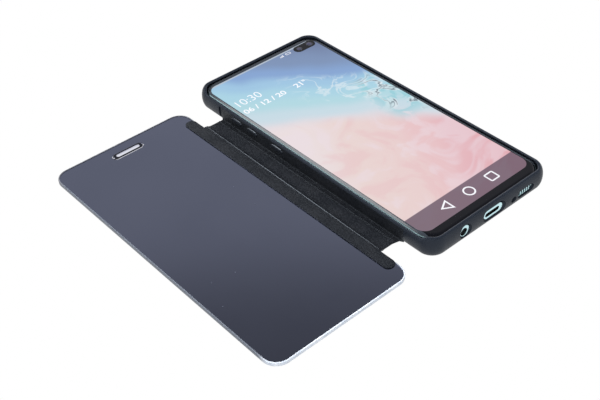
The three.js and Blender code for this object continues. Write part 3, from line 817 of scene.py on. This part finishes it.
def spine_low_end(x):
    """How far down the leather reaches at x: furthest at the wall's foot, hollow across the spine."""
    low = lerp(SKIN_LOW - 0.2, spine_low.y - 0.1, smoothstep(-37.9, -38.5, x))
    low = lerp(low, spine_low.y + 0.75, smoothstep(-38.5, -41.5, x))
    return lerp(low, spine_low.y, smoothstep(-45.5, RIDGE, x))


def make_spine():
    face = spine_face()
    back = spine_back(face)

    def ends(i):
        x, z = face[i]
        if z > 3 and x > SKIN_FACE - 0.1:
            return SKIN_LOW, SKIN_HIGH
        high = lerp(SKIN_HIGH, spine_high.y + 0.4, smoothstep(3, 1.3, z)) if x > -38.2 else spine_high.y
        return spine_low_end(x), lerp(high, spine_high.y, smoothstep(-38.0, -39.0, x))

    lean = lambda i: RIDGE_LEAN * smoothstep(-43, RIDGE, face[i][0])
    stations = edge_stations(spine_high.y - spine_low.y, 60)
    spine = skin("spine_leather", sheet_rings(face, back, ends, stations, lean))
    carve(spine, *(pad_cutter(name) for name in PADS if PADS[name][0].x < 0))
    dress(spine, LOOKS["leather"], 50)
    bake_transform(spine)
    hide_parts("wall_skin", "spine_outer_skin", "spine_board", "spine_inner_skin")


def make_ridge():
    """The pressed double line between spine and cover, running across the second crease."""
    crest = ((0.0, 1.9), (0.12, 2.0), (0.26, 2.11), (0.42, 2.07), (0.62, 1.95), (0.74, 1.91), (0.86, 1.94),
             (1.0, 2.05), (1.12, 2.13), (1.28, 2.09), (1.48, 1.99), (1.68, 1.97), (1.86, 1.96))
    face = [(RIDGE - 0.02 - out, z) for out, z in crest]
    back = [(x, lerp(0.75, 1.68, smoothstep(RIDGE - 0.4, fold_2.x - 0.1, x))) for x, _ in face]
    ends = lambda i: (spine_low.y - 0.05, spine_high.y)
    stations = edge_stations(spine_high.y - spine_low.y, 40)
    ridge = skin("ridge_leather", sheet_rings(face, back, ends, stations, lambda i: RIDGE_LEAN))
    dress(ridge, LOOKS["pressed"], 60)
    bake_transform(ridge)


def make_strip():
    shape = lambda inset: box_outline(strip_low, strip_high, STRIP_CORNER, inset)
    strip = slab("strip_leather", shape, soft_edges(strip_low.z, strip_high.z, 0.1, 0.22))
    place(strip, LOOKS["leather"], "cover", "leather", "cover_strip", sharp=60)


def make_back_skin():
    low, high = cad("back_skin")
    shape = lambda inset: outline(*size_of("back_skin"), 5.6, inset)
    back = slab("back_leather", shape, soft_edges(low.z, high.z, 0.2, 0.1))
    carve(back, flared(lambda inset: window_shape(inset - 0.5), -0.05, 0.25, 1, 0.22, "z"))
    place(back, LOOKS["leather"], "tray", "leather", "back_skin")


make_spine()
make_ridge()
make_strip()
make_back_skin()

# -------------------- cover

panel_low, panel_high = cad("cover_panel")
FILM_TOP = cad("mirror_film")[1].z
ring_low, ring_high = cad("earpiece_ring")
ring_centre = centre_of(ring_low, ring_high)
PANEL_CORNER = 7.2
RING_LENGTH, RING_HEIGHT = size_of("earpiece_ring")
SLOT_LENGTH, SLOT_HEIGHT = 12.7, 2.0
FILM_EDGE = 0.6  # width of the frosted edge round the film
FILM_BASE = 1.4
ABOVE_COVER = 3


def panel_shape(inset):
    return box_outline(panel_low, panel_high, PANEL_CORNER, inset, steps=14)


def film_shape(inset):
    width, length = (side - 2 * FILM_EDGE for side in size_of("cover_panel"))
    centre = centre_of(panel_low, panel_high)
    return outline(width, length, PANEL_CORNER - FILM_EDGE, inset, centre, steps=14)


def slot_cutter(slack):
    return plug(pill(RING_LENGTH + slack, RING_HEIGHT + slack, 0, ring_centre), -1, ABOVE_COVER)


def make_panel():
    """The clear layer under the film, hollowed for the film and the leather strip."""
    panel = slab("clear_panel", film_shape, ((panel_low.z, 0.0), (panel_high.z, 0.0)))
    width, length = size_of("cover_strip")
    strip_seat = outline(width + 0.2, length + 0.2, STRIP_CORNER, 0, centre_of(strip_low, strip_high))
    carve(
        panel,
        plug(film_shape(-0.06), FILM_BASE - 0.02, ABOVE_COVER),
        plug(strip_seat, strip_low.z - 0.05, ABOVE_COVER),
        slot_cutter(0.15),
    )
    place(panel, LOOKS["clear"], "cover", "smoke", "cover_panel")


def make_edge():
    """The frosted edge round the clear panel, with painted light making it brightest at the near end."""
    low, top = panel_low.z, panel_high.z
    inner = FILM_EDGE - 0.02
    levels = ((low, 0.3), (low + 0.05, 0.14), (low + 0.16, 0.04), (low + 0.32, 0.0), (top - 0.3, 0.0),
              (top - 0.14, 0.04), (top - 0.05, 0.12), (top, 0.24), (top, inner), (low, inner))
    edge = slab("panel_edge", panel_shape, levels, ends="ring")
    place(edge, LOOKS["edge"], "cover", "smoke")


def make_film():
    film = slab("cover_mirror", film_shape, soft_edges(FILM_BASE, FILM_TOP, 0.03, 0.05, 2))
    carve(film, slot_cutter(0.2))
    place(film, LOOKS["mirror"], "cover", "mirror", "mirror_film")


def make_bezel():
    """The raised ring round the earpiece slot."""
    inner = (RING_HEIGHT - SLOT_HEIGHT) / 2
    top = ring_high.z
    round_edge = 0.25
    profile = [(0, 0.1), (0, FILM_TOP - 0.05), (0.26, top - 0.1), (0.34, top - 0.03), (0.44, top)]
    for step in range(5):
        angle = math.pi / 2 * step / 4
        inset = inner - round_edge * (1 - math.sin(angle))
        profile.append((inset, top - round_edge * (1 - math.cos(angle))))
    profile.append((inner, 0.1))
    rings = []
    for inset, z in profile:
        length = lerp(RING_LENGTH, SLOT_LENGTH, inset / inner)
        height = lerp(RING_HEIGHT, SLOT_HEIGHT, inset / inner)
        rings.append([(x, y, z) for x, y in pill(length, height, 0, ring_centre)])
    bezel = skin("earpiece_bezel", rings, "ring")
    place(bezel, LOOKS["bezel"], "cover", "smoke", "earpiece_ring", sharp=50)


make_panel()
make_edge()
make_film()
make_bezel()

# -------------------- phone

display_low, display_high = cad("display_panel")
PHONE_WIDTH, PHONE_LENGTH = size_of("mid_frame")
PHONE_CORNER = 9.2
DISPLAY_CORNER = 5.2
GLASS_TOP = cad("front_glass")[1].z
# The picture lies flush with the glass, set over so that it shows where the panel underneath would.
SHIFT_X, SHIFT_Y = -0.53, -0.62
PICTURE_GAP = 0.02
CHIN_LINE = -60.7  # upper edge of the bar across the picture
PICTURE_TOP = display_high.y + 1.15  # a pale line runs just past the display's upper end
display_centre = (middle("display_panel", 0) + SHIFT_X, (display_low.y + PICTURE_TOP) / 2 + SHIFT_Y)
DISPLAY_WIDTH = size_of("display_panel")[0]
DISPLAY_LENGTH = PICTURE_TOP - display_low.y


def phone_shape(inset):
    return outline(PHONE_WIDTH, PHONE_LENGTH, PHONE_CORNER, inset, steps=14)


def row(pitch):
    """Where the six slots over the loudspeaker stand along X."""
    return [speaker_x + pitch * (step - 2.5) for step in range(6)]


def make_frame():
    """The metal ring round the phone, pierced for the ports."""
    outside, inside = -80, -75.5
    inner_opening, glass_seat = outline(69.8, 152.4, 4.5), outline(71, 153.6, 7)
    levels = [(2.6, 0.9), (2.85, 0.55), (3.3, 0.25), (4.0, 0.06), (4.8, 0.0), (6.6, 0.0), (7.6, 0.02),
              (8.2, 0.04), (8.6, 0.16), (8.9, 0.38), (9.06, 0.54), (9.04, 0.8), (8.9, 0.95)]
    ring = slab("phone_frame", phone_shape, levels + [(8.0, 1.2), (7.9, 1.8)])
    cutters = [plug(inner_opening, 2, 7), plug(glass_seat, 7.6, 9)]
    for width, height, x in ((9.4, 3.6, usb_x), (3.8, 3.8, jack_x)):
        socket = lambda inset: pill(width, height, inset, (x, PORT_Z))
        cutters.append(flared(socket, -79.0, -78.4, inside, 0.3, "y"))
    cutters.append(plug(pill(1.2, 1.2, 0, (microphone_x, PORT_Z)), outside, inside, "y"))
    for x in row(1.6):
        cutters.append(plug(pill(0.9, 1.9, 0, (x, PORT_Z)), outside, inside, "y"))
    carve(ring, *cutters)
    place(ring, LOOKS["metal"], "tray", "frame", "mid_frame")


FRONT_CAMERAS = {"front_camera_main": 1.9, "front_camera_depth": 1.6}  # with the radius of each ring


def island_shape(inset):
    """The pill round both front cameras."""
    centre = (sum(middle(name, 0) for name in FRONT_CAMERAS) / 2, middle("front_camera_main", 1))
    return pill(13.6, 5.7, inset, centre, 14)


def display_shape(inset):
    return outline(DISPLAY_WIDTH, DISPLAY_LENGTH, DISPLAY_CORNER, inset, display_centre, steps=14)


def make_glass():
    """The lit picture, set in a black border whose outer edge rolls down to the frame."""
    rolled = [(9.08, 1.0), (9.03, 0.7), (9.08, 0.58), (9.22, 0.8), (9.36, 1.03), (9.49, 1.26), (9.61, 1.5),
              (9.7, 1.7), (9.76, 1.9), (9.79, 2.2), (GLASS_TOP, 2.8)]
    border = slab("screen_border", phone_shape, rolled)
    carve(border, plug(display_shape(-PICTURE_GAP), 8, 10))
    # the border's graphite at its sides and top end is painted reflection
    look = border_glass(DISPLAY_WIDTH / 2, display_high.y)
    place(border, look, "tray", "glass", "front_glass", sharp=60)

    picture = slab("screen_picture", display_shape, ((display_high.z, 0), (GLASS_TOP, 0)))
    carve(picture, plug(island_shape(-PICTURE_GAP), 9, 10))
    look = screen_picture(CHIN_LINE + SHIFT_Y, display_high.y + SHIFT_Y)
    place(picture, look, "tray", "display", "display_panel")


INK = (GLASS_TOP + 0.001, GLASS_TOP + 0.011)
DIGIT_HEIGHT = 0.73  # of a digit, as a part of the font's size


def light_up(mark):
    """Sets a mark over with the picture and lights it."""
    mark.data.transform(Matrix.Translation(Vector((SHIFT_X, SHIFT_Y, 0)) * MM))
    place(mark, LOOKS["ink"], "tray", "display")


def flat_ring(name, outer, inner):
    """A thin lit frame between two outlines with the same number of points."""
    edges = ((outer, INK[0]), (outer, INK[1]), (inner, INK[1]), (inner, INK[0]))
    light_up(skin(name, [[(x, y, z) for x, y in points] for points, z in edges], "ring"))


def lettering(name, text, height, corner, weight, length=None):
    """Digits lit on the display from a lower left corner on, drawn out to the length if one is given."""
    curve = bpy.data.curves.new(name, "FONT")
    curve.body = text
    curve.size = height / DIGIT_HEIGHT * MM
    curve.extrude = (INK[1] - INK[0]) / 2 * MM
    curve.offset = weight * MM
    maker = bpy.data.objects.new(name + "_maker", curve)
    bpy.context.scene.collection.objects.link(maker)
    bpy.context.view_layer.update()
    depsgraph = bpy.context.evaluated_depsgraph_get()
    data = bpy.data.meshes.new_from_object(maker.evaluated_get(depsgraph))
    bpy.data.objects.remove(maker)
    if length:
        right = max(vertex.co.x for vertex in data.vertices)
        data.transform(Matrix.Scale(length * MM / right, 4, (1, 0, 0)))
    data.transform(Matrix.Translation(Vector((*corner, sum(INK) / 2)) * MM))
    piece = bpy.data.objects.new(name, data)
    bpy.context.scene.collection.objects.link(piece)
    light_up(piece)


def make_marks():
    lettering("clock_digits", "10:30", 5.4, (-33.75, 52.5), -0.06)
    lettering("date_digits", "06 / 12 / 20    21°", 3.6, (-33.75, 45.8), 0.08, 40.0)
    y = -66.2
    flat_ring("home_mark", pill(6, 6, 0, (0, y)), pill(6, 6, 0.75, (0, y)))
    flat_ring("recent_mark", *(outline(5.6, 5.6, 0.9, inset, (15, y)) for inset in (0, 0.75)))
    outer = [(-18.2, y), (-12.4, y + 3.35), (-12.4, y - 3.35)]
    inner = [(-16.7, y), (-13.15, y + 2.05), (-13.15, y - 2.05)]
    flat_ring("back_mark", outer, inner)
    flat_ring("battery_mark", *(outline(3.2, 1.7, 0.4, inset, (16.6, 73)) for inset in (0, 0.3)))
    for step in range(3):
        at = (11.2 + 0.9 * step, 72.55 + 0.2 * step)
        bar = lambda inset: outline(0.55, 0.7 + 0.4 * step, 0.1, inset, at)
        light_up(slab(f"signal_mark_{step + 1}", bar, ((INK[0], 0), (INK[1], 0))))


def make_front_cameras():
    """A black pill let into the picture, with a lens in each of its two rings."""
    island = slab("camera_island", island_shape, ((9.17, 0), (GLASS_TOP + 0.01, 0)))
    place(island, LOOKS["black_glass"], "tray", "glass")
    for name, radius in FRONT_CAMERAS.items():
        at = (middle(name, 0), middle(name, 1))
        rim = lambda inset: pill(2 * radius, 2 * radius, inset, at)
        levels = ((9.81, 0.0), (9.84, 0.0), (9.86, 0.22), (9.84, 0.42), (9.81, 0.42))
        ring = slab(name + "_ring", rim, levels, ends="ring")
        place(ring, LOOKS["rings"], "tray", "plastic", sharp=60)
        disc = lambda inset: pill(2 * radius - 0.9, 2 * radius - 0.9, inset, at)
        lens = slab(name + "_lens", disc, ((9.81, 0), (9.82, 0.05), (9.83, 0.4), (9.835, 0.9)))
        place(lens, LOOKS["lens"], "tray", "glass", name, sharp=60)


def make_port_plate(name, length, height, centre, holes):
    """The bright metal round a port, brought out into the hole in the case."""
    plate = slab(name, lambda inset: pill(length, height, inset, centre), PLATE_LEVELS, "y")
    carve(plate, *(plug(pill(hole[0], hole[1], 0, hole[2]), -81, -76, "y") for hole in holes))
    place(plate, LOOKS["metal"], "tray", "frame")


def make_port_well(name, length, height, centre):
    """A dark tube behind the hole in a port plate."""
    levels = ((-79.9, -0.3), (-76.2, -0.3), (-76.2, 0.0), (-79.9, 0.0))
    well = slab(name, lambda inset: pill(length, height, inset, centre), levels, "y", "ring")
    place(well, LOOKS["moulding"], "tray", "plastic")


PLATE_LEVELS = ((-80.0, 0.12), (-79.93, 0.04), (-79.8, 0.0), (-79.3, 0.0))
# Holes in the port plates: (length, height, centre).
USB_HOLE = (9.1, 2.2, (-0.3, 6.0))
JACK_HOLE = (4.0, 4.0, (jack_x - 0.5, 5.5))
SPEAKER_SLOTS = [(0.95, 1.8, (x, 5.5)) for x in row(1.45)]
make_port_plate("usb_plate", 12.2, 4.6, (0.35, 6.05), [USB_HOLE])
make_port_plate("jack_plate", 5.7, 5.7, (jack_x - 0.1, 5.9), [JACK_HOLE])
make_port_plate("speaker_plate", 9.4, 2.5, (speaker_x, 5.5), SPEAKER_SLOTS)
make_port_well("usb_well", *USB_HOLE)
make_port_well("jack_well", *JACK_HOLE)
make_frame()
make_glass()
make_marks()
make_front_cameras()

# -------------------- rear cameras


def make_rear():
    """The camera plate, with the rear lenses and the flash set in it."""
    low, high = cad("camera_bezel")
    shape = lambda inset: box_outline(low, high, 6.6, inset)
    bezel = slab("camera_plate", shape, soft_edges(low.z, high.z, 0.3, 0.05))
    windows = ("rear_lens_wide", "rear_lens_tele", "rear_lens_ultrawide", "flash_window")
    cutters = []
    for name in windows:
        at, size = centre_of(*cad(name)), size_of(name)[0] + 0.2
        cutters.append(flared(lambda inset: pill(size, size, inset, at), 1.15, 1.3, 3, 0.15, "z"))
    carve(bezel, *cutters)
    place(bezel, LOOKS["moulding"], "tray", "plastic", "camera_bezel")
    for name in windows:
        at, size = centre_of(*cad(name)), size_of(name)[0]
        disc = lambda inset: pill(size, size, inset, at, 12)
        lens = slab(name + "_glass", disc, soft_edges(cad(name)[0].z, cad(name)[1].z, 0.12))
        # painted light: the flash window takes the lit screen ink, so it glows though no lamp is there
        place(lens, LOOKS["ink" if name == "flash_window" else "lens"], "tray", "glass", name, sharp=60)


make_rear()

# What the CAD pieces that stay are finished in, by slot.
SLOT_LOOKS = {
    "glass": "black_glass",
    "frame": "metal",
    "steel": "steel",
    "copper": "copper",
    "board": "board",
    "battery": "battery",
    "plastic": "moulding",
    "tray": "case",
    "leather": "leather",
}
for part in frame["record"]["subparts"]:
    node = frame["nodes"][part["node"]]
    if not node.hide_render:
        for material_slot in node.material_slots:
            material_slot.material = LOOKS[SLOT_LOOKS[part["material_slot"]]]

# -------------------- stage, lights and camera


def make_floor():
    """A white light table, so nothing throws a shadow on it."""
    half_m = 3.0
    corners = [(x * half_m, y * half_m, 0) for x, y in ((-1, -1), (1, -1), (1, 1), (-1, 1))]
    data = bpy.data.meshes.new("floor")
    data.from_pydata(corners, [], [(0, 1, 2, 3)])
    floor = bpy.data.objects.new("floor", data)
    floor.location.z = -0.0001
    bpy.context.scene.collection.objects.link(floor)
    glow = {"Specular_IOR_Level": 0.0, "Emission_Strength": 1.0, "Emission_Color": (1, 1, 1, 1)}
    data.materials.append(Shader("floor", (0.0, 0.0, 0.0, 1), 0.9, **glow).finish())


def make_world():
    """Soft studio air: bright low down, dimmer overhead."""
    world = bpy.data.worlds.new("studio")
    bpy.context.scene.world = world
    world.use_nodes = True
    tree = world.node_tree
    background = tree.nodes["Background"]
    direction = tree.nodes.new("ShaderNodeTexCoord")
    split = tree.nodes.new("ShaderNodeSeparateXYZ")
    ramp = tree.nodes.new("ShaderNodeValToRGB")
    tree.links.new(direction.outputs["Generated"], split.inputs[0])
    tree.links.new(split.outputs["Z"], ramp.inputs[0])
    ramp.color_ramp.interpolation = "B_SPLINE"
    levels = ((0.0, 1.0), (0.2, 1.0), (0.36, 0.75), (0.46, 0.42), (0.54, 0.26), (0.61, 0.235), (0.67, 0.235),
              (0.71, 0.12), (0.77, 0.09), (1.0, 0.05))
    fill_ramp(ramp.color_ramp, [(at, (level, level, level, 1)) for at, level in levels])
    tree.links.new(ramp.outputs[0], background.inputs["Color"])
    background.inputs["Strength"].default_value = 1.0


def make_light(name, place_m, target_m, size, power, mirrored=False):
    light = bpy.data.lights.new(name, "AREA")
    light.shape = "DISK"
    light.size = size
    light.energy = power
    lamp = bpy.data.objects.new(name, light)
    lamp.location = place_m
    lamp.rotation_mode = "QUATERNION"
    lamp.rotation_quaternion = (Vector(target_m) - Vector(place_m)).to_track_quat("-Z", "Y")
    lamp.visible_glossy = mirrored
    lamp.visible_transmission = False
    bpy.context.scene.collection.objects.link(lamp)


def make_camera():
    azimuth, elevation, roll = (math.radians(angle) for angle in (-40.349, 40.227, -2.043))
    back = Vector((
        math.sin(azimuth) * math.cos(elevation),
        -math.cos(azimuth) * math.cos(elevation),
        math.sin(elevation),
    ))
    right = Vector((math.cos(azimuth), math.sin(azimuth), 0))
    up = back.cross(right)
    turned_right = math.cos(roll) * right + math.sin(roll) * up
    turned_up = math.cos(roll) * up - math.sin(roll) * right
    data = bpy.data.cameras.new("camera")
    data.sensor_width = 36
    data.lens = 61.635
    data.clip_start = 0.01
    camera = bpy.data.objects.new("camera", data)
    camera.matrix_world = Matrix.Translation((-0.279045, -0.280453, 0.298281)) @ Matrix(
        (turned_right, turned_up, back)
    ).transposed().to_4x4()
    bpy.context.scene.collection.objects.link(camera)
    bpy.context.scene.camera = camera


make_floor()
make_world()
make_light("key", (0.3, 0.5, 1.3), (0, 0, 0), 1.2, 30)
make_light("fill", (-0.7, -0.6, 1.2), (0, 0, 0), 1.2, 18)
make_light("rim", (-0.42, 0.754, 0.99), (-0.02, 0, 0), 0.46, 2.9, mirrored=True)
make_camera()
bpy.context.scene.view_settings.view_transform = "Standard"
